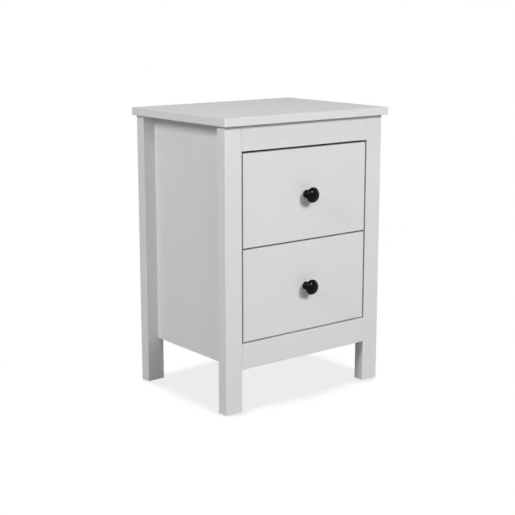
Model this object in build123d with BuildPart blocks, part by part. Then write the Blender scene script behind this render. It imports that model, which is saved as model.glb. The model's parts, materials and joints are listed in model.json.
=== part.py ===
from build123d import *
import os

# Nightstand with two drawers on roller runners, sizes in millimetres.
# The front faces -Y, +X is on the right of someone who stands before it, and +Z is up.
# The origin is on the floor, in the middle of the overall box with the knobs counted in.

# Overall size
height = 560.0
body_width = 388.0  # over the outer faces of the legs
body_depth = 291.0  # from the front of the front legs to the back of the rear legs

# Top board
top_thickness = 15.0
top_side_overhang = 8.0
top_front_overhang = 12.0
top_back_overhang = 6.0
top_corner_round = 2.0

# Legs
leg_width = 38.0
leg_depth = 24.0

# Panels between the legs
side_panel_thickness = 12.0
side_panel_floor_gap = 88.0
back_panel_thickness = 3.0

# Rails between the legs
rail_thickness = 15.0
front_top_rail_height = 48.0
front_bottom_rail_height = 49.5
front_bottom_rail_floor_gap = 83.5
rear_top_rail_height = 60.0
rear_bottom_rail_height = 50.0
rear_bottom_rail_floor_gap = 88.0
rear_rail_setback = 3.0  # from the back of the rear legs

# Eased edges and grooves of the boards
edge_round = 0.8
groove_depth = 6.0
groove_clearance = 0.2

# Drawers
drawer_names = ("lower", "upper")
reveal_gap = 3.5  # beside, below and between the drawer fronts
lift_reveal = 4.5  # above the upper drawer front, room to lift a drawer off its rollers
drawer_front_setback = 1.0  # behind the fronts of the legs and rails
drawer_front_thickness = 15.0
drawer_wall_thickness = 12.0
drawer_bottom_thickness = 3.0
drawer_box_lift = 16.0  # from the lower edge of the front up to the box
drawer_box_headroom = 31.5  # from the top of the box up to the upper edge of the front
drawer_rear_clearance = 8.0
drawer_groove_lift = 10.0  # from the lower edge of the box up to the bottom's groove

# Knobs, distances measured out from the drawer front
knob_base_diameter = 16.0
knob_base_height = 1.5
knob_neck_diameter = 11.0
knob_neck_distance = 7.5
knob_head_diameter = 30.0
knob_rim_setback = 1.2  # how far the two edges of the rim lie inside the head
knob_rim_start = 17.0
knob_rim_end = 21.5
knob_projection = 27.5
knob_thread_depth = 12.0
knob_screw_diameter = 4.0
knob_screw_reach = 10.0  # into the knob
knob_screw_head_diameter = 8.0
knob_screw_head_height = 2.4

# Roller runners
runner_steel = 1.2
roller_diameter = 16.0
roller_width = 6.0
roller_edge_round = 0.8
roller_gap = 0.3  # between a roller and the track that it meets
roller_side_play = 0.1
roller_bore_clearance = 0.05
rivet_diameter = 5.0
rivet_shoulder_diameter = 7.0
rivet_shoulder_height = 1.2
rivet_head_diameter = 8.0
rivet_head_height = 0.8
passing_gap = 0.5  # between a drawer rivet and the screw heads that it passes
channel_side_gap = 1.1  # between the lips of the channel and the drawer rail
lip_headroom = 1.0  # above the drawer rail, inside the channel
lip_side_gap = 1.3  # between the drawer rail's lip and the web of the channel
track_rise = 1.0  # from the lower edge of the drawer box up to the track
flange_width = 11.0  # under the drawer side
channel_front_gap = 2.0  # behind the drawer front
drawer_rail_front_gap = 1.0
roller_end_distance = 13.0
stop_gap = 1.0  # left between a roller and its stop at each end of the travel

# Runner screws
runner_screw_diameter = 3.5
runner_screw_length = 10.0
runner_screw_head_diameter = 7.0
runner_screw_head_height = 1.4
runner_screw_front_margin = 45.0
runner_screw_rear_margin = 40.0

# Drawer back screws
back_screw_thread_diameter = 4.0
back_screw_shank_diameter = 5.0
back_screw_reach = 28.0  # into the drawer back
back_screw_head_diameter = 8.0
back_screw_head_height = 2.5
back_screw_margin = 26.0

# Dowels, cam bolts and cam locks
fit_clearance = 0.1  # radial, around each fastener in its hole
end_gap = 0.5  # left at the bottom of each blind hole
dowel_diameter = 6.0
dowel_face_depth = 10.0
dowel_edge_depth = 20.0
dowel_chamfer = 0.6
side_dowel_margin = 60.0
top_dowel_margin = 60.0
rail_bolt_margin = 18.0  # from the lower edge of a rail
rail_dowel_margin = 13.0  # from the upper edge of a rail
top_bolt_inset = 76.0  # from the ends of the top rails
drawer_bolt_margin = 28.0
bolt_thread_diameter = 6.0
bolt_thread_length = 10.0
bolt_shank_diameter = 4.5
bolt_head_diameter = 5.6
bolt_head_length = 3.0
bolt_edge_hole_diameter = 7.0
cam_setback = 24.0  # from the edge of a board to the middle of its cam lock
cam_floor = 2.5  # wood left under a cam lock
cam_slot_clearance = 0.5
cam_drive_width = 1.4
cam_drive_depth = 1.6
rail_cam_diameter = 15.0
drawer_cam_diameter = 12.0

# Places of the body
knob_overhang = knob_projection - drawer_front_setback  # before the fronts of the legs
overall_depth = max(knob_overhang, top_front_overhang) + body_depth + top_back_overhang
rear_y = overall_depth / 2 - top_back_overhang
front_y = rear_y - body_depth
half_width = body_width / 2
leg_height = height - top_thickness
inner_x = half_width - leg_width  # inner faces of the legs and of the side panels
panel_x = inner_x + side_panel_thickness / 2
panel_front_y = front_y + leg_depth
panel_rear_y = rear_y - leg_depth
front_rail_y = front_y + rail_thickness / 2
rear_rail_y = rear_y - rear_rail_setback - rail_thickness / 2
rear_rail_face_y = rear_rail_y - rail_thickness / 2
front_bottom_rail_top = front_bottom_rail_floor_gap + front_bottom_rail_height
front_top_rail_bottom = leg_height - front_top_rail_height
rear_bottom_rail_top = rear_bottom_rail_floor_gap + rear_bottom_rail_height
rear_top_rail_bottom = leg_height - rear_top_rail_height
tongue = groove_depth - groove_clearance  # how far a thin panel reaches into its groove
back_groove_width = back_panel_thickness + 2 * groove_clearance
back_panel_bottom = rear_bottom_rail_top - tongue
back_panel_top = rear_top_rail_bottom + tongue

# Places of the runners, measured from the side panel towards the middle
rivet_length = runner_steel + rivet_shoulder_height + 2 * roller_side_play + roller_width
slide_space = runner_steel + runner_screw_head_height + passing_gap + rivet_head_height + rivet_length
channel_depth = slide_space - runner_steel - channel_side_gap
channel_inner_height = roller_diameter + 2 * roller_gap + runner_steel + lip_headroom
lip_edge = runner_steel + lip_side_gap
lip_rise = track_rise + roller_diameter + 2 * roller_gap
roller_rise = track_rise + roller_gap + roller_diameter / 2
roller_start = runner_steel + rivet_shoulder_height + roller_side_play

# Places of the drawers
drawer_pitch = (front_top_rail_bottom - front_bottom_rail_top - lift_reveal) / len(drawer_names)
drawer_front_height = drawer_pitch - reveal_gap
drawer_front_half = inner_x - reveal_gap
box_height = drawer_front_height - drawer_box_lift - drawer_box_headroom
drawer_face_y = front_y + drawer_front_setback
box_front_y = drawer_face_y + drawer_front_thickness
box_rear_y = rear_rail_face_y - drawer_rear_clearance
box_half = inner_x - slide_space
box_inner_half = box_half - drawer_wall_thickness
box_back_y = box_rear_y - drawer_wall_thickness
drawer_groove_width = drawer_bottom_thickness + 2 * groove_clearance
wall_x = box_half - drawer_wall_thickness / 2
channel_front_y = box_front_y + channel_front_gap
front_roller_y = channel_front_y + roller_end_distance
rear_roller_y = box_rear_y - roller_end_distance
channel_rear_y = rear_roller_y + roller_diameter / 2 + stop_gap + runner_steel
drawer_travel = rear_roller_y - front_roller_y - roller_diameter - stop_gap
runner_screw_front_y = channel_front_y + runner_screw_front_margin
runner_screw_rear_y = channel_rear_y - runner_screw_rear_margin
runner_screw_ys = (
    runner_screw_front_y,
    (runner_screw_front_y + runner_screw_rear_y) / 2,
    runner_screw_rear_y,
)
rail_screw_x = box_half - (drawer_wall_thickness - groove_depth) / 2  # beside the bottom's groove

# Depths of the cam locks
rail_cam_depth = rail_thickness - cam_floor
drawer_cam_depth = drawer_wall_thickness - cam_floor

standing = (Align.CENTER, Align.CENTER, Align.MIN)
hanging = (Align.CENTER, Align.CENTER, Align.MAX)


def front_level(name):
    """Height of the lower edge of a drawer front."""
    return front_bottom_rail_top + reveal_gap + drawer_names.index(name) * drawer_pitch


def box_level(name):
    """Height of the lower edge of a drawer box."""
    return front_level(name) + drawer_box_lift


def knob_level(name):
    """Height of the middle of a drawer front, where its knob sits."""
    return front_level(name) + drawer_front_height / 2


# Each fastener is placed by the plane where two boards meet.
# Its Z direction runs from the board that is drilled in its face into the one drilled in its edge.
# All are on the left half, and the right half is their mirror image.
side_dowel_heights = (
    side_panel_floor_gap + side_dowel_margin,
    (side_panel_floor_gap + leg_height) / 2,
    leg_height - side_dowel_margin,
)
front_side_dowels = [Plane((-panel_x, panel_front_y, z), z_dir=(0, 1, 0)) for z in side_dowel_heights]
rear_side_dowels = [Plane((-panel_x, panel_rear_y, z), z_dir=(0, -1, 0)) for z in side_dowel_heights]
panel_top_dowels = [
    Plane((-panel_x, y, leg_height), z_dir=(0, 0, -1))
    for y in (panel_front_y + top_dowel_margin, panel_rear_y - top_dowel_margin)
]
leg_x = half_width - leg_width / 2
front_leg_top_dowel = Plane((-leg_x, front_y + leg_depth / 2, leg_height), z_dir=(0, 0, -1))
rear_leg_top_dowel = Plane((-leg_x, rear_y - leg_depth / 2, leg_height), z_dir=(0, 0, -1))


def rail_bolt(y, bottom):
    """Cam bolt at the left end of a rail."""
    return Plane((-inner_x, y, bottom + rail_bolt_margin), z_dir=(1, 0, 0))


def rail_dowel(y, top):
    """Dowel at the left end of a rail."""
    return Plane((-inner_x, y, top - rail_dowel_margin), z_dir=(1, 0, 0))


def top_bolt(y):
    """Cam bolt from the top board into a rail under it, on the left half."""
    return Plane((-inner_x + top_bolt_inset, y, leg_height), z_dir=(0, 0, -1))


front_rail_bolts = [rail_bolt(front_rail_y, z) for z in (front_bottom_rail_floor_gap, front_top_rail_bottom)]
front_rail_dowels = [rail_dowel(front_rail_y, z) for z in (front_bottom_rail_top, leg_height)]
rear_rail_bolts = [rail_bolt(rear_rail_y, z) for z in (rear_bottom_rail_floor_gap, rear_top_rail_bottom)]
rear_rail_dowels = [rail_dowel(rear_rail_y, z) for z in (rear_bottom_rail_top, leg_height)]
front_top_bolt = top_bolt(front_rail_y)
rear_top_bolt = top_bolt(rear_rail_y)


def rail_cam(bolt, facing):
    """Plane on a rail's inner face over the head of a bolt, with its X direction towards the bolt's root."""
    head = bolt.offset(cam_setback).origin
    return Plane(head + Vector(0, facing * rail_thickness / 2, 0), x_dir=-bolt.z_dir, z_dir=(0, facing, 0))


front_rail_cams = [rail_cam(bolt, 1) for bolt in front_rail_bolts + [front_top_bolt]]
rear_rail_cams = [rail_cam(bolt, -1) for bolt in rear_rail_bolts + [rear_top_bolt]]


def drawer_bolts(name):
    """Cam bolts from a drawer front into its left side."""
    heights = (box_level(name) + drawer_bolt_margin, box_level(name) + box_height - drawer_bolt_margin)
    return [Plane((-wall_x, box_front_y, z), z_dir=(0, 1, 0)) for z in heights]


def drawer_cams(name):
    """Planes on the inner face of a drawer's left side, over the heads of its bolts."""
    heads = [bolt.offset(cam_setback).origin for bolt in drawer_bolts(name)]
    reach = Vector(drawer_wall_thickness / 2, 0, 0)
    return [Plane(head + reach, x_dir=(0, -1, 0), z_dir=(1, 0, 0)) for head in heads]


def back_screws(name):
    """Screws from the outer face of a drawer's left side into its back."""
    heights = (box_level(name) + back_screw_margin, box_level(name) + box_height - back_screw_margin)
    y = box_rear_y - drawer_wall_thickness / 2
    return [Plane((-box_half, y, z), z_dir=(-1, 0, 0)) for z in heights]


def channel_screws(name):
    """Screws of the left channel, by the planes under their heads."""
    z = box_level(name) + roller_rise
    return [Plane((-inner_x + runner_steel, y, z), z_dir=(1, 0, 0)) for y in runner_screw_ys]


def rail_screws(name):
    """Screws of the left drawer rail, by the planes under their heads."""
    z = box_level(name) - runner_steel
    return [Plane((-rail_screw_x, y, z), z_dir=(0, 0, -1)) for y in runner_screw_ys]


def front_rivet(name):
    """Rivet in the left channel that carries its front roller."""
    return Plane((-inner_x, front_roller_y, box_level(name) + roller_rise), z_dir=(1, 0, 0))


def rear_rivet(name):
    """Rivet in the left drawer rail that carries its rear roller."""
    return Plane((-box_half, rear_roller_y, box_level(name) + roller_rise), z_dir=(-1, 0, 0))


def save(piece, name):
    """Label a finished piece and write its file."""
    piece.part.label = name
    export_step(piece.part, f"parts/{name}.step")


def save_pair(left, name):
    """Write a left piece and its mirror image on the right."""
    save(left, name.format("left"))
    with BuildPart() as right:
        mirror(left.part, about=Plane.YZ)
    save(right, name.format("right"))


def block(x_span, y_span, z_span, mode=Mode.ADD):
    """Board or cut between pairs of coordinates, in the piece being built."""
    low = Vector(x_span[0], y_span[0], z_span[0])
    high = Vector(x_span[1], y_span[1], z_span[1])
    size = high - low
    with Locations((low + high) / 2):
        Box(size.X, size.Y, size.Z, mode=mode)


def drill_face(planes, diameter, depth):
    """Blind holes in the face of a board, on the near side of the planes."""
    with Locations(*planes):
        Hole(diameter / 2 + fit_clearance, depth)


def drill_edge(planes, diameter, depth):
    """Blind holes in the edge of a board, on the far side of the planes."""
    with Locations(*[-plane for plane in planes]):
        Hole(diameter / 2 + fit_clearance, depth)


def around(middle, width):
    """Pair of coordinates around a middle."""
    return (middle - width / 2, middle + width / 2)


def both_sides(planes):
    """Planes of the left half with their mirror images on the right."""
    images = []
    for plane in planes:
        place = (-plane.origin.X, plane.origin.Y, plane.origin.Z)
        direction = (-plane.z_dir.X, plane.z_dir.Y, plane.z_dir.Z)
        images.append(Plane(place, z_dir=direction))
    return planes + images


def top_panel():
    y_span = (front_y - top_front_overhang, rear_y + top_back_overhang)
    half = half_width + top_side_overhang
    dowels = both_sides(panel_top_dowels + [front_leg_top_dowel, rear_leg_top_dowel])
    bolts = both_sides([front_top_bolt, rear_top_bolt])
    with BuildPart() as top:
        block((-half, half), y_span, (leg_height, height))
        fillet(top.edges().filter_by(Axis.Z), top_corner_round)
        fillet(top.faces().sort_by(Axis.Z)[-1].edges(), edge_round)
        fillet(top.faces().sort_by(Axis.Z)[0].edges(), edge_round)
        drill_face(dowels, dowel_diameter, dowel_face_depth)
        drill_face(bolts, bolt_thread_diameter, bolt_thread_length + end_gap)
    save(top, "top_panel")


def leg(y_span, name, side_dowels, top_dowel, bolts, rail_dowels, grooved):
    """Left leg of a pair, eased along its length and at its foot, and its mirror image."""
    with BuildPart() as post:
        block((-half_width, -inner_x), y_span, (0, leg_height))
        fillet(post.edges().filter_by(Axis.Z) + post.faces().sort_by(Axis.Z)[0].edges(), edge_round)
        drill_face(side_dowels + rail_dowels, dowel_diameter, dowel_face_depth)
        drill_edge([top_dowel], dowel_diameter, dowel_edge_depth)
        drill_face(bolts, bolt_thread_diameter, bolt_thread_length + end_gap)
        if grooved:
            block(
                (-inner_x - groove_depth, -inner_x),
                around(rear_rail_y, back_groove_width),
                (back_panel_bottom - groove_clearance, back_panel_top + groove_clearance),
                mode=Mode.SUBTRACT,
            )
    save_pair(post, name)


def side_panel():
    pilots = [screw for name in drawer_names for screw in channel_screws(name)]
    with BuildPart() as panel:
        block(
            (-inner_x - side_panel_thickness, -inner_x),
            (panel_front_y, panel_rear_y),
            (side_panel_floor_gap, leg_height),
        )
        fillet(panel.edges().filter_by(Axis.Y).group_by(Axis.Z)[0], edge_round)
        drill_edge(front_side_dowels + rear_side_dowels + panel_top_dowels, dowel_diameter, dowel_edge_depth)
        drill_face(pilots, runner_screw_diameter, runner_screw_length + end_gap)
    save_pair(panel, "{}_side_panel")


def back_panel():
    half = inner_x + tongue
    with BuildPart() as panel:
        block((-half, half), around(rear_rail_y, back_panel_thickness), (back_panel_bottom, back_panel_top))
    save(panel, "back_panel")


def rail(name, y_middle, z_span, bolts, dowels, cams, groove_span=None):
    """Rail between two legs, with the holes for its fasteners and any groove for the back panel."""
    with BuildPart() as board:
        block((-inner_x, inner_x), around(y_middle, rail_thickness), z_span)
        fillet(board.edges().filter_by(Axis.X), edge_round)
        drill_edge(both_sides(bolts), bolt_edge_hole_diameter, cam_setback)
        drill_edge(both_sides(dowels), dowel_diameter, dowel_edge_depth)
        drill_face(both_sides(cams), rail_cam_diameter, rail_cam_depth)
        if groove_span:
            block((-inner_x, inner_x), around(y_middle, back_groove_width), groove_span, mode=Mode.SUBTRACT)
    save(board, name)


def rails():
    low_bolt, high_bolt = front_rail_bolts
    low_dowel, high_dowel = front_rail_dowels
    low_cam, high_cam, top_cam = front_rail_cams
    low_span = (front_bottom_rail_floor_gap, front_bottom_rail_top)
    high_span = (front_top_rail_bottom, leg_height)
    rail("front_bottom_rail", front_rail_y, low_span, [low_bolt], [low_dowel], [low_cam])
    rail(
        "front_top_rail",
        front_rail_y,
        high_span,
        [high_bolt, front_top_bolt],
        [high_dowel],
        [high_cam, top_cam],
    )
    low_bolt, high_bolt = rear_rail_bolts
    low_dowel, high_dowel = rear_rail_dowels
    low_cam, high_cam, top_cam = rear_rail_cams
    low_span = (rear_bottom_rail_floor_gap, rear_bottom_rail_top)
    high_span = (rear_top_rail_bottom, leg_height)
    low_groove = (rear_bottom_rail_top - groove_depth, rear_bottom_rail_top)
    high_groove = (rear_top_rail_bottom, rear_top_rail_bottom + groove_depth)
    rail("rear_bottom_rail", rear_rail_y, low_span, [low_bolt], [low_dowel], [low_cam], low_groove)
    rail(
        "rear_top_rail",
        rear_rail_y,
        high_span,
        [high_bolt, rear_top_bolt],
        [high_dowel],
        [high_cam, top_cam],
        high_groove,
    )


def dowels():
    planes = front_side_dowels + rear_side_dowels + panel_top_dowels
    planes = planes + front_rail_dowels + rear_rail_dowels + [front_leg_top_dowel, rear_leg_top_dowel]
    length = dowel_face_depth + dowel_edge_depth - 2 * end_gap
    with BuildPart() as pins:
        with Locations(*[plane.offset(end_gap - dowel_face_depth) for plane in planes]):
            Cylinder(dowel_diameter / 2, length, align=standing)
        chamfer(pins.edges().filter_by(GeomType.CIRCLE), dowel_chamfer)
        mirror(about=Plane.YZ)
    save(pins, "carcass_dowels")


def cam_bolts(planes, name):
    """Threaded bolts whose heads reach into the cam locks."""
    with BuildPart() as bolts:
        with Locations(*planes):
            Cylinder(bolt_thread_diameter / 2, bolt_thread_length, align=hanging)
            Cylinder(bolt_shank_diameter / 2, cam_setback, align=standing)
        with Locations(*[plane.offset(cam_setback) for plane in planes]):
            Cylinder(bolt_head_diameter / 2, bolt_head_length)
        mirror(about=Plane.YZ)
    save(bolts, name)


def cam_locks(planes, name, diameter, depth, board_thickness):
    """Round locks, slotted towards the bolt and with a cross for the screwdriver."""
    slot = bolt_head_diameter + 2 * cam_slot_clearance
    slot_back = bolt_head_length / 2 + cam_slot_clearance
    slot_length = slot_back + diameter
    drive = diameter / 2
    with BuildPart() as locks:
        with Locations(*planes):
            Cylinder(diameter / 2, depth - end_gap, align=hanging)
        with Locations(*[plane.offset(-board_thickness / 2) for plane in planes]):
            with Locations((slot_length / 2 - slot_back, 0, 0)):
                Box(slot_length, slot, slot, mode=Mode.SUBTRACT)
        with Locations(*planes):
            Box(drive, cam_drive_width, 2 * cam_drive_depth, mode=Mode.SUBTRACT)
            Box(cam_drive_width, drive, 2 * cam_drive_depth, mode=Mode.SUBTRACT)
        mirror(about=Plane.YZ)
    save(locks, name)


def screws(planes, name):
    """Runner screws with a low conical head above each plane and a point."""
    point = runner_screw_diameter / 2
    with BuildPart() as group:
        with Locations(*planes):
            Cone(
                runner_screw_head_diameter / 2,
                runner_screw_diameter / 2,
                runner_screw_head_height,
                align=standing,
            )
            Cylinder(runner_screw_diameter / 2, runner_screw_length - point, align=hanging)
        with Locations(*[plane.offset(point - runner_screw_length) for plane in planes]):
            Cone(0, runner_screw_diameter / 2, point, align=hanging)
        mirror(about=Plane.YZ)
    save(group, name)


def rivets(planes, name):
    """Axles riveted into the runner steel, each with a shoulder and a head around its roller."""
    with BuildPart() as axles:
        with Locations(*planes):
            Cylinder(rivet_diameter / 2, rivet_length, align=standing)
        with Locations(*[plane.offset(runner_steel) for plane in planes]):
            Cylinder(rivet_shoulder_diameter / 2, rivet_shoulder_height, align=standing)
        with Locations(*[plane.offset(rivet_length) for plane in planes]):
            Cylinder(rivet_head_diameter / 2, rivet_head_height, align=standing)
        mirror(about=Plane.YZ)
    save(axles, name)


def roller(rivet, name):
    """Left roller that turns on a rivet, and its mirror image."""
    with BuildPart() as wheel:
        with BuildSketch(rivet.offset(roller_start)):
            Circle(roller_diameter / 2)
            Circle(rivet_diameter / 2 + roller_bore_clearance, mode=Mode.SUBTRACT)
        extrude(amount=roller_width)
        fillet(wheel.edges().filter_by(GeomType.CIRCLE).group_by(SortBy.RADIUS)[-1], roller_edge_round)
    save_pair(wheel, name)


def channel(name):
    """Left steel channel on the side panel, with its rear stop."""
    low = box_level(name) + track_rise - runner_steel
    high = low + channel_inner_height + 2 * runner_steel
    back = -inner_x
    web = back + runner_steel
    lip = back + channel_depth
    with BuildPart() as track:
        with BuildSketch(Plane.XZ.offset(-channel_front_y)):
            with BuildLine():
                Polyline(
                    (back, low),
                    (lip, low),
                    (lip, low + runner_steel),
                    (web, low + runner_steel),
                    (web, high - runner_steel),
                    (lip, high - runner_steel),
                    (lip, high),
                    (back, high),
                    close=True,
                )
            make_face()
        extrude(amount=channel_front_y - channel_rear_y)
        block(
            (web, lip),
            (channel_rear_y - runner_steel, channel_rear_y),
            (low + runner_steel, box_level(name) + roller_rise),
        )
        drill_face(channel_screws(name), runner_screw_diameter, runner_steel)
        drill_edge([front_rivet(name)], rivet_diameter, runner_steel)
    save_pair(track, name + "_{}_channel")


def drawer_rail(name):
    """Left steel rail under the drawer side, with the lip that runs on the front roller."""
    low = box_level(name) - runner_steel
    lip_low = box_level(name) + lip_rise
    lip_high = lip_low + runner_steel
    lip = -inner_x + lip_edge
    web = -box_half - runner_steel
    flange = -box_half + flange_width
    start_y = box_front_y + drawer_rail_front_gap
    with BuildPart() as track:
        with BuildSketch(Plane.XZ.offset(-start_y)):
            with BuildLine():
                Polyline(
                    (lip, lip_low),
                    (web, lip_low),
                    (web, low),
                    (flange, low),
                    (flange, low + runner_steel),
                    (-box_half, low + runner_steel),
                    (-box_half, lip_high),
                    (lip, lip_high),
                    close=True,
                )
            make_face()
        extrude(amount=start_y - box_rear_y)
        drill_face(rail_screws(name), runner_screw_diameter, runner_steel)
        drill_edge([rear_rivet(name)], rivet_diameter, runner_steel)
    save_pair(track, name + "_{}_drawer_rail")


def drawer_front(name):
    low = front_level(name)
    groove_low = box_level(name) + drawer_groove_lift
    groove_half = box_inner_half + groove_depth
    with BuildPart() as front:
        block(
            (-drawer_front_half, drawer_front_half),
            (drawer_face_y, box_front_y),
            (low, low + drawer_front_height),
        )
        fillet(front.edges(), edge_round)
        block(
            (-groove_half, groove_half),
            (box_front_y - groove_depth, box_front_y),
            (groove_low, groove_low + drawer_groove_width),
            mode=Mode.SUBTRACT,
        )
        drill_face(both_sides(drawer_bolts(name)), bolt_thread_diameter, bolt_thread_length + end_gap)
        with Locations(Plane((0, drawer_face_y, knob_level(name)), z_dir=(0, -1, 0))):
            Hole(knob_screw_diameter / 2 + fit_clearance, drawer_front_thickness)
    save(front, name + "_drawer_front")


def drawer_side(name):
    low = box_level(name)
    groove = (low + drawer_groove_lift, low + drawer_groove_lift + drawer_groove_width)
    with BuildPart() as side:
        block((-box_half, -box_inner_half), (box_front_y, box_rear_y), (low, low + box_height))
        fillet(side.edges().filter_by(Axis.Y).group_by(Axis.Z)[-1], edge_round)
        block(
            (-box_inner_half - groove_depth, -box_inner_half),
            (box_front_y, box_back_y + groove_depth),
            groove,
            mode=Mode.SUBTRACT,
        )
        drill_edge(drawer_bolts(name), bolt_edge_hole_diameter, cam_setback)
        drill_face(drawer_cams(name), drawer_cam_diameter, drawer_cam_depth)
        drill_face(rail_screws(name), runner_screw_diameter, runner_screw_length + end_gap)
        with Locations(*back_screws(name)):
            CounterBoreHole(
                back_screw_shank_diameter / 2 + fit_clearance,
                back_screw_head_diameter / 2 + fit_clearance,
                back_screw_head_height,
                drawer_wall_thickness,
            )
    save_pair(side, name + "_drawer_{}_side")


def drawer_back(name):
    low = box_level(name)
    groove = (low + drawer_groove_lift, low + drawer_groove_lift + drawer_groove_width)
    pilots = both_sides([plane.offset(-drawer_wall_thickness) for plane in back_screws(name)])
    with BuildPart() as back:
        block((-box_inner_half, box_inner_half), (box_back_y, box_rear_y), (low, low + box_height))
        fillet(back.edges().filter_by(Axis.X).group_by(Axis.Z)[-1], edge_round)
        block(
            (-box_inner_half, box_inner_half),
            (box_back_y, box_back_y + groove_depth),
            groove,
            mode=Mode.SUBTRACT,
        )
        drill_face(pilots, back_screw_thread_diameter, back_screw_reach + end_gap)
    save(back, name + "_drawer_back")


def drawer_bottom(name):
    half = box_inner_half + tongue
    low = box_level(name) + drawer_groove_lift + groove_clearance
    with BuildPart() as bottom:
        block(
            (-half, half),
            (box_front_y - tongue, box_back_y + tongue),
            (low, low + drawer_bottom_thickness),
        )
    save(bottom, name + "_drawer_bottom")


def drawer_back_screws(name):
    planes = back_screws(name)
    with BuildPart() as group:
        with Locations(*planes):
            Cylinder(back_screw_head_diameter / 2, back_screw_head_height, align=hanging)
            Cylinder(back_screw_shank_diameter / 2, drawer_wall_thickness, align=hanging)
        with Locations(*[plane.offset(-drawer_wall_thickness) for plane in planes]):
            Cylinder(back_screw_thread_diameter / 2, back_screw_reach, align=hanging)
        mirror(about=Plane.YZ)
    save(group, name + "_drawer_back_screws")


def knob(name):
    """Turned mushroom knob, drawn as half a section and spun about its axis."""
    seat = Vector(0, drawer_face_y, knob_level(name))
    base = knob_base_diameter / 2
    rim = knob_head_diameter / 2
    rim_edge = rim - knob_rim_setback
    outward = Axis(seat, (0, -1, 0))
    with BuildPart() as turned:
        with BuildSketch(Plane(seat, x_dir=(1, 0, 0), z_dir=(0, 0, -1))):
            with BuildLine():
                Polyline((0, knob_projection), (0, 0), (base, 0), (base, knob_base_height))
                Spline(
                    (base, knob_base_height),
                    (knob_neck_diameter / 2, knob_neck_distance),
                    (rim_edge, knob_rim_start),
                )
                ThreePointArc(
                    (rim_edge, knob_rim_start),
                    (rim, (knob_rim_start + knob_rim_end) / 2),
                    (rim_edge, knob_rim_end),
                )
                Spline((rim_edge, knob_rim_end), (0, knob_projection), tangents=((-1, 1), (-1, 0)))
            make_face()
        revolve(axis=outward)
        with Locations(Plane(seat, z_dir=(0, 1, 0))):
            Hole(knob_screw_diameter / 2 + fit_clearance, knob_thread_depth)
    save(turned, name + "_knob")


def knob_screw(name):
    """Screw through a drawer front into its knob, with its head inside the drawer."""
    seat = Plane((0, box_front_y, knob_level(name)), z_dir=(0, 1, 0))
    with BuildPart() as screw:
        with Locations(seat):
            Cylinder(knob_screw_head_diameter / 2, knob_screw_head_height, align=standing)
            Cylinder(knob_screw_diameter / 2, drawer_front_thickness + knob_screw_reach, align=hanging)
        fillet(screw.faces().sort_by(Axis.Y)[-1].edges(), knob_screw_head_height / 3)
    save(screw, name + "_knob_screw")


os.makedirs("parts", exist_ok=True)

top_panel()
leg(
    (front_y, panel_front_y),
    "front_{}_leg",
    front_side_dowels,
    front_leg_top_dowel,
    front_rail_bolts,
    front_rail_dowels,
    grooved=False,
)
leg(
    (panel_rear_y, rear_y),
    "rear_{}_leg",
    rear_side_dowels,
    rear_leg_top_dowel,
    rear_rail_bolts,
    rear_rail_dowels,
    grooved=True,
)
side_panel()
back_panel()
rails()
dowels()
cam_bolts(front_rail_bolts + rear_rail_bolts + [front_top_bolt, rear_top_bolt], "carcass_cam_bolts")
cam_locks(
    front_rail_cams + rear_rail_cams,
    "carcass_cam_locks",
    rail_cam_diameter,
    rail_cam_depth,
    rail_thickness,
)
screws([plane for name in drawer_names for plane in channel_screws(name)], "channel_screws")
rivets([front_rivet(name) for name in drawer_names], "channel_rivets")

for drawer in drawer_names:
    channel(drawer)
    roller(front_rivet(drawer), drawer + "_{}_front_roller")
    drawer_front(drawer)
    drawer_side(drawer)
    drawer_back(drawer)
    drawer_bottom(drawer)
    drawer_rail(drawer)
    roller(rear_rivet(drawer), drawer + "_{}_rear_roller")
    rivets([rear_rivet(drawer)], drawer + "_drawer_rivets")
    screws(rail_screws(drawer), drawer + "_drawer_rail_screws")
    cam_bolts(drawer_bolts(drawer), drawer + "_drawer_cam_bolts")
    cam_locks(
        drawer_cams(drawer),
        drawer + "_drawer_cam_locks",
        drawer_cam_diameter,
        drawer_cam_depth,
        drawer_wall_thickness,
    )
    drawer_back_screws(drawer)
    knob(drawer)
    knob_screw(drawer)

print("drawer travel", drawer_travel)
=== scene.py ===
import json
import math
import bpy
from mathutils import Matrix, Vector


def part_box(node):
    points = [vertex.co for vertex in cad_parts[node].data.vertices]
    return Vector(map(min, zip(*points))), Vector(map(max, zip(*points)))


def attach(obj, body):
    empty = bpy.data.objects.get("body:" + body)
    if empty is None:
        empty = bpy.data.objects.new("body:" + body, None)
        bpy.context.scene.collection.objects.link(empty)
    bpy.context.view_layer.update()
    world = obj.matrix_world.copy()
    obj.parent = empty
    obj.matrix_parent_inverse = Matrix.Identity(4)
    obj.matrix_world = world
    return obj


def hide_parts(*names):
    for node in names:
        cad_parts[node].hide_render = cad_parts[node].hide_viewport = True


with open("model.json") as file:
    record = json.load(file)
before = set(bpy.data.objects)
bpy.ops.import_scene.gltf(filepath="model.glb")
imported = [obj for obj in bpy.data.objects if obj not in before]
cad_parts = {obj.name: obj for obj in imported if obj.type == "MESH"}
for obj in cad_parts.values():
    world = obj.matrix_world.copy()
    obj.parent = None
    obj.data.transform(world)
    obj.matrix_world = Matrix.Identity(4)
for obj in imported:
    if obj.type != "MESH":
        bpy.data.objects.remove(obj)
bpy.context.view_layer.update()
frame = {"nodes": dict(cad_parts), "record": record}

nodes = frame["nodes"]
scene = bpy.context.scene
scene.view_settings.view_transform = "Standard"
mm = 0.001  # Blender works in metres
drawers = ("lower", "upper")
print("frame loaded with", len(nodes), "nodes")


def toLinear(hexColour):
    # sRGB hex to the linear RGBA that sockets take
    parts = [int(hexColour[i:i + 2], 16) / 255 for i in (1, 3, 5)]
    return [p / 12.92 if p <= 0.04045 else ((p + 0.055) / 1.055) ** 2.4 for p in parts] + [1.0]


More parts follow.
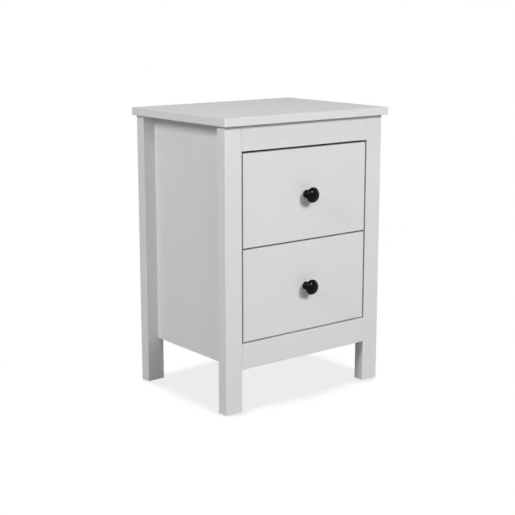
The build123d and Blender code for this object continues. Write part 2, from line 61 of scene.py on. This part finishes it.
def addNode(tree, kind, sockets=None, **settings):
    # one node with its settings; a socket gets a value or a link
    node = tree.nodes.new(kind)
    for key, value in settings.items():
        setattr(node, key, value)
    for key, value in (sockets or {}).items():
        if isinstance(value, bpy.types.NodeSocket):
            tree.links.new(value, node.inputs[key])
        else:
            node.inputs[key].default_value = value
    return node


def emptyTree(owner):
    # the node tree of a material or of the world, with nothing in it yet
    owner.use_nodes = True
    owner.node_tree.nodes.clear()
    return owner.node_tree


def startMaterial(name):
    # empty tree and the Object coordinates that every pattern is drawn on
    material = bpy.data.materials.new(name)
    tree = emptyTree(material)
    return material, tree, addNode(tree, "ShaderNodeTexCoord").outputs["Object"]


def finishMaterial(tree, height, depth, sockets, invert=False):
    # what every finish ends with: a bump this many mm deep, the shader and the output
    bump = addNode(tree, "ShaderNodeBump", {
        "Height": height, "Distance": depth * mm, "Strength": 1.0,
    }, invert=invert)
    shader = addNode(tree, "ShaderNodeBsdfPrincipled", {"Normal": bump.outputs["Normal"], **sockets})
    addNode(tree, "ShaderNodeOutputMaterial", {"Surface": shader.outputs["BSDF"]})


def perMetre(size):
    # texture scale for a pattern whose cells are this many mm across
    return 1 / (size * mm)


mixA, mixB, mixOut = 6, 7, 2  # sockets of the Mix node when it mixes colours
octaves = {"smooth": 1.0, "soft": 2.0, "patchy": 3.0, "flecked": 4.0, "fibrous": 5.0}  # detail of a noise
noiseSpan = (0.3, 0.7)  # where most of a noise's values lie
bandsPerUnit = 20 / (2 * math.pi)  # what a band texture draws at a scale of 1


# Satin lacquer sprayed on MDF: an even pale grey film, a faint orange peel,
# and a sheen that wanders a little from place to place
lacquer = {
    "pale": "#DDDDDD", "shade": "#D9D9D9", "cloud": 110,  # mm
    "peel": 4.5,  # mm, real orange peel is 1 to 2 mm across, drawn coarser so that it shows
    "peelHeight": 0.035, "sheenPatch": 35, "roughness": (0.54, 0.62),
    "ior": 1.5, "specular": 0.3,
}


def makeLacquer():
    material, tree, place = startMaterial("satinLacquerOnMdf")
    cloud = addNode(tree, "ShaderNodeTexNoise", {
        "Vector": place, "Scale": perMetre(lacquer["cloud"]), "Detail": octaves["soft"],
    })
    colour = addNode(tree, "ShaderNodeMix", {
        0: cloud.outputs["Fac"], mixA: toLinear(lacquer["pale"]), mixB: toLinear(lacquer["shade"]),
    }, data_type="RGBA")
    patch = addNode(tree, "ShaderNodeTexNoise", {
        "Vector": place, "Scale": perMetre(lacquer["sheenPatch"]), "Detail": octaves["patchy"],
    })
    sheen = addNode(tree, "ShaderNodeMapRange", {
        "Value": patch.outputs["Fac"], "From Min": noiseSpan[0], "From Max": noiseSpan[1],
        "To Min": lacquer["roughness"][0], "To Max": lacquer["roughness"][1],
    })
    peel = addNode(tree, "ShaderNodeTexNoise", {
        "Vector": place, "Scale": perMetre(lacquer["peel"]), "Detail": octaves["smooth"],
    })
    finishMaterial(tree, peel.outputs["Fac"], lacquer["peelHeight"], {
        "Base Color": colour.outputs[mixOut], "Roughness": sheen.outputs["Result"],
        "IOR": lacquer["ior"], "Specular IOR Level": lacquer["specular"],
    })
    return material


# Paper foil pressed on the drawer boards: matte white with shallow printed pores along the board
foil = {
    "pale": "#DEDDDA", "pore": "#D6D5D1", "poreLength": 28, "poreWidth": 1.4,  # mm
    "poreSpan": (0.55, 0.72), "poreDepth": 0.03, "roughness": 0.58,
}


def makeFoil(name, along):
    material, tree, place = startMaterial(name)
    stretch = [perMetre(foil["poreLength"] if axis == along else foil["poreWidth"]) for axis in "XYZ"]
    lie = addNode(tree, "ShaderNodeMapping", {"Vector": place, "Scale": stretch})
    pores = addNode(tree, "ShaderNodeTexNoise", {
        "Vector": lie.outputs["Vector"], "Scale": 1.0, "Detail": octaves["soft"],
    })
    depth = addNode(tree, "ShaderNodeMapRange", {
        "Value": pores.outputs["Fac"],
        "From Min": foil["poreSpan"][0], "From Max": foil["poreSpan"][1],
    })
    colour = addNode(tree, "ShaderNodeMix", {
        0: depth.outputs["Result"], mixA: toLinear(foil["pale"]), mixB: toLinear(foil["pore"]),
    }, data_type="RGBA")
    finishMaterial(tree, depth.outputs["Result"], foil["poreDepth"], {
        "Base Color": colour.outputs[mixOut], "Roughness": foil["roughness"],
    }, invert=True)
    return material


# Hardboard, white primer on the side that shows: bare brown fibres behind it,
# with the mesh that the press screen leaves
board = {
    "primer": "#DCDBD8", "fibre": "#8F7256", "fleck": "#6E543C", "fleckSize": 3.5,  # mm
    "fleckSpan": (0.35, 0.7), "fleckRoughness": 0.7,
    "mesh": 4.0,  # mm, the real screen is about 1.5 mm, drawn coarser so that it shows
    "film": 0.25, "meshDepth": 0.06, "roughness": 0.62,
}


def makeHardboard(name, axis, face, sign):
    # face is where the primed side lies on the axis, in mm, and sign points from it into the board
    material, tree, place = startMaterial(name)
    split = addNode(tree, "ShaderNodeSeparateXYZ", {"Vector": place})
    edge = face + sign * board["film"]
    bare = addNode(tree, "ShaderNodeMath", {
        0: split.outputs[axis], 1: edge * mm,
    }, operation="GREATER_THAN" if sign > 0 else "LESS_THAN").outputs["Value"]
    flecks = addNode(tree, "ShaderNodeTexNoise", {
        "Vector": place, "Scale": perMetre(board["fleckSize"]),
        "Detail": octaves["fibrous"], "Roughness": board["fleckRoughness"],
    })
    spread = addNode(tree, "ShaderNodeMapRange", {
        "Value": flecks.outputs["Fac"],
        "From Min": board["fleckSpan"][0], "From Max": board["fleckSpan"][1],
    })
    fibre = addNode(tree, "ShaderNodeMix", {
        0: spread.outputs["Result"], mixA: toLinear(board["fibre"]), mixB: toLinear(board["fleck"]),
    }, data_type="RGBA")
    colour = addNode(tree, "ShaderNodeMix", {
        0: bare, mixA: toLinear(board["primer"]), mixB: fibre.outputs[mixOut],
    }, data_type="RGBA")
    # the screen's two rows of wires, pressed into the bare fibres alone
    relief = bare
    for direction in ("X", "Z" if axis == "Y" else "Y"):
        wires = addNode(tree, "ShaderNodeTexWave", {
            "Vector": place, "Scale": perMetre(board["mesh"]) / bandsPerUnit,
        }, bands_direction=direction)
        relief = addNode(tree, "ShaderNodeMath", {
            0: relief, 1: wires.outputs["Fac"],
        }, operation="MULTIPLY").outputs["Value"]
    finishMaterial(tree, relief, board["meshDepth"], {
        "Base Color": colour.outputs[mixOut], "Roughness": board["roughness"],
    })
    return material


# Black gloss lacquer on cast metal: deep black, small sharp highlights, a slow ripple in the film
gloss = {
    "colour": "#020202", "worn": "#050505", "ripple": 5.0, "rippleHeight": 0.006,  # mm
    "roughness": 0.05, "specular": 0.1,
}


def makeGloss():
    material, tree, place = startMaterial("glossLacquerOnCastMetal")
    ripple = addNode(tree, "ShaderNodeTexNoise", {
        "Vector": place, "Scale": perMetre(gloss["ripple"]), "Detail": octaves["soft"],
    })
    colour = addNode(tree, "ShaderNodeMix", {
        0: ripple.outputs["Fac"], mixA: toLinear(gloss["colour"]), mixB: toLinear(gloss["worn"]),
    }, data_type="RGBA")
    finishMaterial(tree, ripple.outputs["Fac"], gloss["rippleHeight"], {
        "Base Color": colour.outputs[mixOut], "Roughness": gloss["roughness"],
        "Specular IOR Level": gloss["specular"],
    })
    return material


# White powder coat baked on sheet steel: creamy white, fine leathery bumps, half matte
powder = {
    "pale": "#DAD8D2", "shade": "#D2D0C9", "bump": 1.6, "bumpHeight": 0.05,  # mm
    "roughness": 0.48,
}


def makePowder():
    material, tree, place = startMaterial("powderCoatedSteel")
    grain = addNode(tree, "ShaderNodeTexNoise", {
        "Vector": place, "Scale": perMetre(powder["bump"]), "Detail": octaves["soft"],
    })
    colour = addNode(tree, "ShaderNodeMix", {
        0: grain.outputs["Fac"], mixA: toLinear(powder["pale"]), mixB: toLinear(powder["shade"]),
    }, data_type="RGBA")
    finishMaterial(tree, grain.outputs["Fac"], powder["bumpHeight"], {
        "Base Color": colour.outputs[mixOut], "Roughness": powder["roughness"],
    })
    return material


# Moulded nylon: milky white that lets a little light in, with a soft eroded mould finish
nylon = {
    "pale": "#E0DED6", "shade": "#D3D0C6", "cloud": 4.0, "texture": 0.8, "textureHeight": 0.02,  # mm
    "roughness": 0.42, "ior": 1.53, "letsIn": 0.15, "letsInDepth": 1.5,
}


def makeNylon():
    material, tree, place = startMaterial("mouldedNylon")
    cloud = addNode(tree, "ShaderNodeTexNoise", {
        "Vector": place, "Scale": perMetre(nylon["cloud"]), "Detail": octaves["soft"],
    })
    colour = addNode(tree, "ShaderNodeMix", {
        0: cloud.outputs["Fac"], mixA: toLinear(nylon["pale"]), mixB: toLinear(nylon["shade"]),
    }, data_type="RGBA")
    grain = addNode(tree, "ShaderNodeTexNoise", {
        "Vector": place, "Scale": perMetre(nylon["texture"]), "Detail": octaves["smooth"],
    })
    finishMaterial(tree, grain.outputs["Fac"], nylon["textureHeight"], {
        "Base Color": colour.outputs[mixOut], "Roughness": nylon["roughness"], "IOR": nylon["ior"],
        "Subsurface Weight": nylon["letsIn"], "Subsurface Scale": nylon["letsInDepth"] * mm,
    })
    return material


# Zinc metals: bright plating on steel screws and rivets, and duller die casting on the cam locks
zincs = {
    "platedSteel": {
        "pale": "#C9CACB", "shade": "#B4B3AC", "patch": 3.0, "pit": 0.6, "pitDepth": 0.01,  # mm
        "roughness": (0.22, 0.38),
    },
    "dieCastZinc": {
        "pale": "#B9BABB", "shade": "#9D9E9F", "patch": 2.5, "pit": 0.5, "pitDepth": 0.03,  # mm
        "roughness": (0.38, 0.55),
    },
}


def makeZinc(name):
    zinc = zincs[name]
    material, tree, place = startMaterial(name)
    patch = addNode(tree, "ShaderNodeTexNoise", {
        "Vector": place, "Scale": perMetre(zinc["patch"]), "Detail": octaves["patchy"],
    })
    colour = addNode(tree, "ShaderNodeMix", {
        0: patch.outputs["Fac"], mixA: toLinear(zinc["pale"]), mixB: toLinear(zinc["shade"]),
    }, data_type="RGBA")
    sheen = addNode(tree, "ShaderNodeMapRange", {
        "Value": patch.outputs["Fac"], "From Min": noiseSpan[0], "From Max": noiseSpan[1],
        "To Min": zinc["roughness"][0], "To Max": zinc["roughness"][1],
    })
    pits = addNode(tree, "ShaderNodeTexNoise", {
        "Vector": place, "Scale": perMetre(zinc["pit"]), "Detail": octaves["smooth"],
    })
    finishMaterial(tree, pits.outputs["Fac"], zinc["pitDepth"], {
        "Base Color": colour.outputs[mixOut], "Roughness": sheen.outputs["Result"], "Metallic": 1.0,
    })
    return material


# Beech dowel: pinkish tan with short dark ray flecks
beech = {
    "pale": "#CFA77C", "fleck": "#A87B50", "fleckSize": 1.2, "fleckDepth": 0.03,  # mm
    "fleckSpan": (0.45, 0.7), "roughness": 0.6,
}


def makeBeech():
    material, tree, place = startMaterial("turnedBeech")
    flecks = addNode(tree, "ShaderNodeTexNoise", {
        "Vector": place, "Scale": perMetre(beech["fleckSize"]), "Detail": octaves["flecked"],
    })
    spread = addNode(tree, "ShaderNodeMapRange", {
        "Value": flecks.outputs["Fac"],
        "From Min": beech["fleckSpan"][0], "From Max": beech["fleckSpan"][1],
    })
    colour = addNode(tree, "ShaderNodeMix", {
        0: spread.outputs["Result"], mixA: toLinear(beech["pale"]), mixB: toLinear(beech["fleck"]),
    }, data_type="RGBA")
    finishMaterial(tree, flecks.outputs["Fac"], beech["fleckDepth"], {
        "Base Color": colour.outputs[mixOut], "Roughness": beech["roughness"],
    })
    return material


finishes = {
    "white_lacquer": makeLacquer(), "black_lacquer": makeGloss(), "coated_steel": makePowder(),
    "roller_nylon": makeNylon(), "plated_steel": makeZinc("platedSteel"),
    "cast_zinc": makeZinc("dieCastZinc"), "beech": makeBeech(),
    "drawer_foil": makeFoil("paperFoilAlongDrawer", "Y"),
}
foilAcross = makeFoil("paperFoilAcrossDrawer", "X")
# the back panel shows its primed face to the front, a drawer bottom shows it upwards
ownFinish = {"back_panel": makeHardboard("primedHardboardBack", "Y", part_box("back_panel")[0].y / mm, 1)}
for drawer in drawers:
    bottom = drawer + "_drawer_bottom"
    ownFinish[bottom] = makeHardboard("primedHardboard_" + bottom, "Z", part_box(bottom)[1].z / mm, -1)
    ownFinish[drawer + "_drawer_back"] = foilAcross

slotOf = {}
for part in frame["record"]["subparts"]:
    slotOf[part.get("name") or part.get("node")] = part["material_slot"]
for name, node in nodes.items():
    material = ownFinish.get(name) or finishes[slotOf[name]]
    if not node.material_slots:
        node.data.materials.append(material)
    for slot in node.material_slots:
        slot.material = material
print("finishes on the boards and fittings:", len(finishes) + len(ownFinish))

mergeGap = 0.002 * mm  # points nearer than this become one
smoothAngle = 32  # degrees, a sharper edge stays an edge


def selectOnly(*pieces):
    # these and nothing else, the first one active
    bpy.ops.object.select_all(action="DESELECT")
    for piece in reversed(pieces):
        piece.select_set(True)
        bpy.context.view_layer.objects.active = piece


def turnPiece(name, rings, segments, closed=False):
    # a circle pulled up ring by ring along Z, as on a lathe; rings are (distance, radius) in mm
    selectOnly()
    start, radius = rings[0]
    bpy.ops.mesh.primitive_circle_add(
        vertices=segments, radius=radius * mm, location=(0, 0, start * mm),
        fill_type="NOTHING" if closed else "NGON",
    )
    piece = bpy.context.object
    piece.name = name
    bpy.ops.object.mode_set(mode="EDIT")
    bpy.ops.mesh.select_all(action="SELECT")
    for (lastDistance, lastRadius), (distance, radius) in zip(rings, rings[1:]):
        bpy.ops.mesh.extrude_region_move(
            TRANSFORM_OT_translate={"value": (0, 0, (distance - lastDistance) * mm)},
        )
        grow = radius / lastRadius
        bpy.ops.transform.resize(value=(grow, grow, 1), center_override=(0, 0, distance * mm))
    if not closed:
        bpy.ops.mesh.merge(type="CENTER")  # the last small ring becomes the pole
    bpy.ops.mesh.select_all(action="SELECT")
    bpy.ops.mesh.remove_doubles(threshold=mergeGap)
    bpy.ops.mesh.normals_make_consistent(inside=False)
    bpy.ops.object.mode_set(mode="OBJECT")
    bpy.ops.object.transform_apply(location=True, rotation=True, scale=True)
    return piece


def layPiece(piece, seat, turn):
    # turned about its own foot, then moved to the seat, with the place kept in the mesh
    selectOnly(piece)
    piece.rotation_euler = [math.radians(angle) for angle in turn]
    piece.location = [value * mm for value in seat]
    bpy.ops.object.transform_apply(location=True, rotation=True, scale=True)


def copyPiece(piece, name):
    copy = piece.copy()
    copy.data = piece.data.copy()
    copy.name = name
    copy.data.name = name
    scene.collection.objects.link(copy)
    return copy


def dressPiece(piece, body, slot, *stoodFor):
    selectOnly(piece)
    bpy.ops.object.shade_smooth_by_angle(angle=math.radians(smoothAngle))
    piece.data.materials.clear()
    piece.data.materials.append(finishes[slot])
    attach(piece, body)
    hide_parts(*stoodFor)


towardsFront = (90, 0, 0)  # turns that take +Z to -Y, +Y, +X, -X and -Z
towardsBack = (-90, 0, 0)
towardsRight = (0, 90, 0)
towardsLeft = (0, -90, 0)
downwards = (180, 0, 0)

# Mushroom knob, in mm from the drawer front: flange, waisted neck,
# and a thin rounded rim that runs on into a low dome
knob = {
    "segments": 72, "base": 8.0, "flange": 1.5, "neck": 5.5, "neckAt": 7.5,
    "rimIn": 13.8, "rim": 15.0, "rimStart": 17.0, "widest": 19.25, "tip": 27.5, "tipEnd": 0.2,
    "neckSteps": 14, "rimSteps": 5, "domeSteps": 22, "flare": 2.2, "neckIn": 0.5,
    "footEdge": [(0, 0.4), (0.05, 0.15), (0.3, 0)],  # the flange's two rounded edges,
    "flangeEdge": [(-0.5, 0), (-0.1, 0.15)],  # each as steps along and in from its corner
}


def knobRings():
    base, flange, neck, neckAt = knob["base"], knob["flange"], knob["neck"], knob["neckAt"]
    rimIn, rim, rimStart, widest, tip = (knob[key] for key in ("rimIn", "rim", "rimStart", "widest", "tip"))
    rings = [(out, base - inset) for out, inset in knob["footEdge"]]
    rings += [(flange + out, base - inset) for out, inset in knob["flangeEdge"]]
    # waist: eases in from the flange to the neck, then sweeps out to the rim
    shares = [step / knob["neckSteps"] for step in range(1, knob["neckSteps"] + 1)]
    for share in shares:
        ease = (1 - share) ** 2
        rings.append((flange + share * (neckAt - flange), neck + (base - knob["neckIn"] - neck) * ease))
    for share in shares:
        rings.append((neckAt + share * (rimStart - neckAt), neck + (rimIn - neck) * share ** knob["flare"]))
    # rim: a round edge from the underside of the head to its widest point
    for step in range(1, knob["rimSteps"] + 1):
        angle = math.pi / 2 * step / knob["rimSteps"]
        rings.append((
            widest - (widest - rimStart) * math.cos(angle), rimIn + (rim - rimIn) * math.sin(angle),
        ))
    # dome: a flattened quarter that runs on from the rim to the tip
    for step in range(1, knob["domeSteps"]):
        angle = math.pi / 2 * step / knob["domeSteps"]
        rings.append((widest + (tip - widest) * math.sin(angle), rim * math.cos(angle)))
    rings.append((tip, knob["tipEnd"]))
    return rings


knobModel = turnPiece("upperTurnedKnob", knobRings(), knob["segments"])
knobs = {"upper": knobModel, "lower": copyPiece(knobModel, "lowerTurnedKnob")}
for drawer, piece in knobs.items():
    low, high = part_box(drawer + "_knob")
    layPiece(piece, ((low.x + high.x) / 2 / mm, high.y / mm, (low.z + high.z) / 2 / mm), towardsFront)
    dressPiece(piece, drawer + "_drawer", "black_lacquer", drawer + "_knob")
print("knobs turned")

# Nylon roller: rounded tread, a dished web on both faces, a hub around the rivet
roller = {
    "segments": 48, "radius": 8.0, "width": 6.0, "bore": 2.55, "hub": 4.2, "web": 6.3, "dish": 0.9,
    "round": 0.8, "roundSteps": 4, "chamfer": 0.15, "lip": 0.12, "slope": 0.25,
}


def rollerRings():
    bore, hub, web, dish = roller["bore"], roller["hub"], roller["web"], roller["dish"]
    tread, width, turnIn = roller["radius"], roller["width"], roller["round"]
    chamfer, lip, slope = roller["chamfer"], roller["lip"], roller["slope"]
    face = [(chamfer, bore), (0, bore + chamfer), (0, hub - chamfer), (lip, hub), (dish, hub + slope)]
    face += [(dish, web - slope), (lip, web), (0, web + chamfer), (0, tread - turnIn)]
    for step in range(1, roller["roundSteps"] + 1):
        angle = math.pi / 2 * step / roller["roundSteps"]
        face.append((turnIn - turnIn * math.cos(angle), tread - turnIn + turnIn * math.sin(angle)))
    return face + [(width - out, radius) for out, radius in reversed(face)] + face[:1]


rollerModel = turnPiece("rollerModel", rollerRings(), roller["segments"], closed=True)
for drawer in drawers:
    for side in ("left", "right"):
        for end in ("front", "rear"):
            name = drawer + "_" + side + "_" + end + "_roller"
            piece = copyPiece(rollerModel, name + "_turned")
            low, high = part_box(name)
            seat = (low.x / mm, (low.y + high.y) / 2 / mm, (low.z + high.z) / 2 / mm)
            layPiece(piece, seat, towardsRight)
            dressPiece(piece, name, "roller_nylon", name)
bpy.data.objects.remove(rollerModel)
print("rollers turned")

# Screws, each modelled once along +Z with its seat at 0:
# a point, a ridged shank, a head with a cross recess
screws = {
    "runner": {
        "segments": 24, "length": 10, "point": 2.5, "plain": 0.8, "neck": 1.6,
        "core": 1.25, "crest": 1.75, "pitch": 1.4,
        "head": [(0, 3.35), (0.15, 3.5), (0.55, 3.3), (0.95, 2.75), (1.25, 1.9), (1.4, 0.3)], "top": 1.4,
        "cross": {"arm": 3.4, "width": 0.8, "depth": 0.9},
    },
    "drawerBack": {
        "segments": 24, "length": 40, "point": 4, "plain": 12, "neck": 2.5,
        "core": 1.5, "crest": 2.0, "pitch": 2.2,
        "head": [(-2.5, 3.85), (-2.35, 4.0), (-0.3, 4.0), (0, 3.7), (0, 0.3)], "top": 0,
        "cross": {"arm": 4.6, "width": 1.0, "depth": 1.7},
    },
    "knob": {
        "segments": 24, "length": 25, "point": 0.8, "plain": 0.5, "neck": 2.0,
        "core": 1.65, "crest": 2.0, "pitch": 0.7,
        "head": [(0, 3.85), (0.15, 4.0), (1.2, 4.0), (1.75, 3.6), (2.2, 2.5), (2.4, 0.3)], "top": 2.4,
        "cross": {"arm": 4.2, "width": 0.95, "depth": 1.5},
    },
}
screwTip = 0.25  # mm, radius at the end of the point
ridge = {"rise": 0.35, "crest": 0.5, "fall": 0.85}  # one turn of the thread, in shares of its pitch
recess = {"foot": 0.3, "mouth": 0.8}  # radii of the bar that cuts a cross, in shares of its arm


def screwRings(screw):
    core, crest, pitch = screw["core"], screw["crest"], screw["pitch"]
    low, high = screw["point"] - screw["length"], -screw["plain"]
    rings = [(-screw["length"], screwTip), (low, core)]
    turns = int((high - low) / pitch)
    for turn in range(turns):
        root = low + (high - low) * turn / turns
        rings += [(root + ridge["rise"] * pitch, crest), (root + ridge["crest"] * pitch, crest)]
        rings.append((root + ridge["fall"] * pitch, core))
    return rings + [(high, screw["neck"]), (screw["head"][0][0], screw["neck"])] + screw["head"]


def cutCross(piece, cross, top):
    # one tapered bar cut out of the head twice, a quarter turn apart
    selectOnly()
    bpy.ops.mesh.primitive_cone_add(
        vertices=4, radius1=recess["foot"] * cross["arm"] * mm, radius2=recess["mouth"] * cross["arm"] * mm,
        depth=2 * cross["depth"] * mm, location=(0, 0, top * mm), rotation=(0, 0, math.radians(45)),
    )
    bar = bpy.context.object
    bpy.ops.object.transform_apply(location=False, rotation=True, scale=True)
    bpy.ops.transform.resize(value=(1, cross["width"] / cross["arm"], 1))
    bpy.ops.object.transform_apply(location=False, rotation=False, scale=True)
    for angle in (0, 90):
        bar.rotation_euler = (0, 0, math.radians(angle))
        bpy.context.view_layer.objects.active = piece
        bpy.ops.object.modifier_add(type="BOOLEAN")
        cut = piece.modifiers[-1]
        cut.operation = "DIFFERENCE"
        cut.object = bar
        bpy.ops.object.modifier_apply(modifier=cut.name)
    bpy.data.objects.remove(bar)
    # the cut leaves points in line on the head's faces, which would become slivers
    selectOnly(piece)
    bpy.ops.object.mode_set(mode="EDIT")
    bpy.ops.mesh.select_all(action="SELECT")
    bpy.ops.mesh.remove_doubles(threshold=mergeGap)
    bpy.ops.mesh.quads_convert_to_tris(quad_method="BEAUTY", ngon_method="BEAUTY")
    bpy.ops.mesh.dissolve_degenerate(threshold=mergeGap)
    bpy.ops.object.mode_set(mode="OBJECT")


# Rivet that a roller turns on: shouldered pin, upset head with a small dimple
rivet = {
    "segments": 32,
    "rings": [
        (0, 2.3), (0.2, 2.5), (1.2, 2.5), (1.2, 3.35), (1.35, 3.5), (2.25, 3.5), (2.4, 3.35), (2.4, 2.5),
        (8.6, 2.5), (8.6, 3.8), (8.7, 3.98), (8.95, 4.0), (9.2, 3.7), (9.37, 3.0), (9.4, 2.2),
        (9.4, 1.7), (9.2, 1.2), (9.1, 0.3),
    ],
}

fastenerModels = {"rivet": turnPiece("rivetModel", rivet["rings"], rivet["segments"])}
for kind, screw in screws.items():
    fastenerModels[kind] = turnPiece(kind + "ScrewModel", screwRings(screw), screw["segments"])
    cutCross(fastenerModels[kind], screw["cross"], screw["top"])

# seats of the fasteners, read off the boards and runners that they hold, in mm
seats = {
    "steel": 1.2,  # sheet that the runners are bent from
    "headHalf": 3.5,  # from the end of a row of runner screws to its first axis
    "flangeIn": 3.0,  # from a drawer side's outer face to the screws under it
    "backIn": 26.0,  # from the edges of a drawer back to its screws
    "spin": 37,  # degrees from one cross recess to the next
}


def placeFasteners(kind, node, body, places):
    # a copy in each place, each spun a little further, joined into the piece that stands for the node
    copies = []
    for seat, turn in places:
        piece = copyPiece(fastenerModels[kind], node + "_turned")
        layPiece(piece, (0, 0, 0), (0, 0, seats["spin"] * len(copies)))
        layPiece(piece, seat, turn)
        copies.append(piece)
    selectOnly(*copies)
    if len(copies) > 1:
        bpy.ops.object.join()
    dressPiece(copies[0], body, "plated_steel", node)


def middle(node):
    low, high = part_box(node)
    return (low + high) / 2 / mm


leftAndRight = (-1, 1)
inward = {-1: towardsRight, 1: towardsLeft}
outward = {-1: towardsLeft, 1: towardsRight}
panelX = -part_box("lower_left_channel")[0].x / mm
boxX = -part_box("lower_drawer_left_side")[0].x / mm
rowStart, rowEnd = (corner.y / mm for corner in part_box("channel_screws"))
screwRow = (rowStart + seats["headHalf"], (rowStart + rowEnd) / 2, rowEnd - seats["headHalf"])
frontAxles = {drawer: middle(drawer + "_left_front_roller") for drawer in drawers}
rearAxles = {drawer: middle(drawer + "_left_rear_roller") for drawer in drawers}
placeFasteners("runner", "channel_screws", "carcass", [
    ((side * (panelX - seats["steel"]), y, axle.z), inward[side])
    for side in leftAndRight for y in screwRow for axle in frontAxles.values()
])
placeFasteners("rivet", "channel_rivets", "carcass", [
    ((side * panelX, axle.y, axle.z), inward[side])
    for side in leftAndRight for axle in frontAxles.values()
])
for drawer in drawers:
    body = drawer + "_drawer"
    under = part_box(drawer + "_left_drawer_rail")[0].z / mm
    placeFasteners("runner", body + "_rail_screws", body, [
        ((side * (boxX - seats["flangeIn"]), y, under), downwards)
        for side in leftAndRight for y in screwRow
    ])
    axle = rearAxles[drawer]
    placeFasteners("rivet", body + "_rivets", body, [
        ((side * boxX, axle.y, axle.z), outward[side]) for side in leftAndRight
    ])
    backLow, backHigh = (corner.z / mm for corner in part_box(body + "_back"))
    backY = middle(body + "_back").y
    placeFasteners("drawerBack", body + "_back_screws", body, [
        ((side * boxX, backY, up), outward[side])
        for side in leftAndRight for up in (backLow + seats["backIn"], backHigh - seats["backIn"])
    ])
    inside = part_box(body + "_front")[1].y / mm
    placeFasteners("knob", drawer + "_knob_screw", body, [
        ((0, inside, middle(drawer + "_knob").z), towardsBack),
    ])
for model in fastenerModels.values():
    bpy.data.objects.remove(model)
print("screws and rivets placed")

# Soft studio light, in metres: a pale surround, a key high in front with a weaker lamp to its left,
# a tall fill from the left, and two low lamps that lift the right side and the back
studio = {
    "surround": 0.04, "target": (0, 0, 0.35),
    "lamps": {
        "key": {"from": (0.26, -3.4, 2.22), "size": (1.0, 1.0), "power": 98},
        "second": {"from": (-1.3, -3.4, 2.65), "size": (0.8, 0.8), "power": 21},
        "fill": {"from": (-3.6, -0.62, 2.56), "size": (0.95, 1.5), "power": 105},
        "right": {"from": (2.4, 0.4, 0.5), "size": (0.8, 0.8), "power": 27},
        "rear": {"from": (0.5, 2.5, 0.5), "size": (0.8, 0.8), "power": 28},
    },
}
white = (1, 1, 1, 1)
for name, lamp in studio["lamps"].items():
    aim = Vector(studio["target"]) - Vector(lamp["from"])
    bpy.ops.object.light_add(
        type="AREA", location=lamp["from"], rotation=aim.to_track_quat("-Z", "Y").to_euler(),
    )
    light = bpy.context.object
    light.name = name + "Lamp"
    light.data.shape = "RECTANGLE"
    light.data.size, light.data.size_y = lamp["size"]
    light.data.energy = lamp["power"]


def seenRays(tree):
    # 1 for what the camera sees, also in a gloss or through glass, and 0 for light on its way
    rays = addNode(tree, "ShaderNodeLightPath")
    seen = rays.outputs["Is Camera Ray"]
    for kind in ("Is Glossy Ray", "Is Transmission Ray"):
        seen = addNode(tree, "ShaderNodeMath", {
            0: seen, 1: rays.outputs[kind],
        }, operation="MAXIMUM").outputs["Value"]
    return seen


world = bpy.data.worlds.new("paleSurround")
scene.world = world
tree = emptyTree(world)
level = addNode(tree, "ShaderNodeMapRange", {
    "Value": seenRays(tree), "To Min": studio["surround"], "To Max": 1.0,
})
sky = addNode(tree, "ShaderNodeBackground", {"Color": white, "Strength": level.outputs["Result"]})
addNode(tree, "ShaderNodeOutputWorld", {"Surface": sky.outputs["Background"]})

# Pale floor: white to the camera, with a painted shadow, grey where the object stands close over it,
# drawn from occlusion and not cast by the lamps; a plain pale sheet to bounced light
floor = {
    "size": 60, "drop": 0.2,  # m across, and mm below the feet
    "bounce": 0.38, "reach": 0.3, "rays": 96, "open": (0.60, 0.642), "paintedShadowToWhite": (0.84, 1.0),
}
selectOnly()
bpy.ops.mesh.primitive_plane_add(size=floor["size"], location=(0, 0, -floor["drop"] * mm))
sheet = bpy.context.object
sheet.name = "paleFloor"
material = bpy.data.materials.new("paleFloorPaperPaintedShadow")
tree = emptyTree(material)
# painted shadow: how closely the object stands overhead becomes a grey emission that the camera sees
paintedShadowOcclusion = addNode(tree, "ShaderNodeAmbientOcclusion", {"Distance": floor["reach"]}, samples=floor["rays"])
level = addNode(tree, "ShaderNodeMapRange", {
    "Value": paintedShadowOcclusion.outputs["AO"], "From Min": floor["open"][0], "From Max": floor["open"][1],
    "To Min": floor["paintedShadowToWhite"][0], "To Max": floor["paintedShadowToWhite"][1],
})
whiteWithPaintedShadow = addNode(tree, "ShaderNodeEmission", {"Color": white, "Strength": level.outputs["Result"]})
bounce = addNode(tree, "ShaderNodeBsdfDiffuse", {"Color": [floor["bounce"]] * 3 + [1]})
choice = addNode(tree, "ShaderNodeMixShader", {
    0: seenRays(tree), 1: bounce.outputs["BSDF"], 2: whiteWithPaintedShadow.outputs["Emission"],
})
addNode(tree, "ShaderNodeOutputMaterial", {"Surface": choice.outputs["Shader"]})
sheet.data.materials.append(material)

# Camera at the photograph's viewing angle, found from the corners of the top and of the legs
view = {"place": (-1.443, -1.8134, 0.7576), "yaw": 38.262, "tilt": 12.187, "lens": 81.81, "sensor": 36}
bpy.ops.object.camera_add(
    location=view["place"], rotation=(math.radians(90 - view["tilt"]), 0, -math.radians(view["yaw"])),
)
camera = bpy.context.object
camera.data.sensor_width = view["sensor"]
camera.data.lens = view["lens"]
scene.camera = camera
print("floor, lamps and camera set")
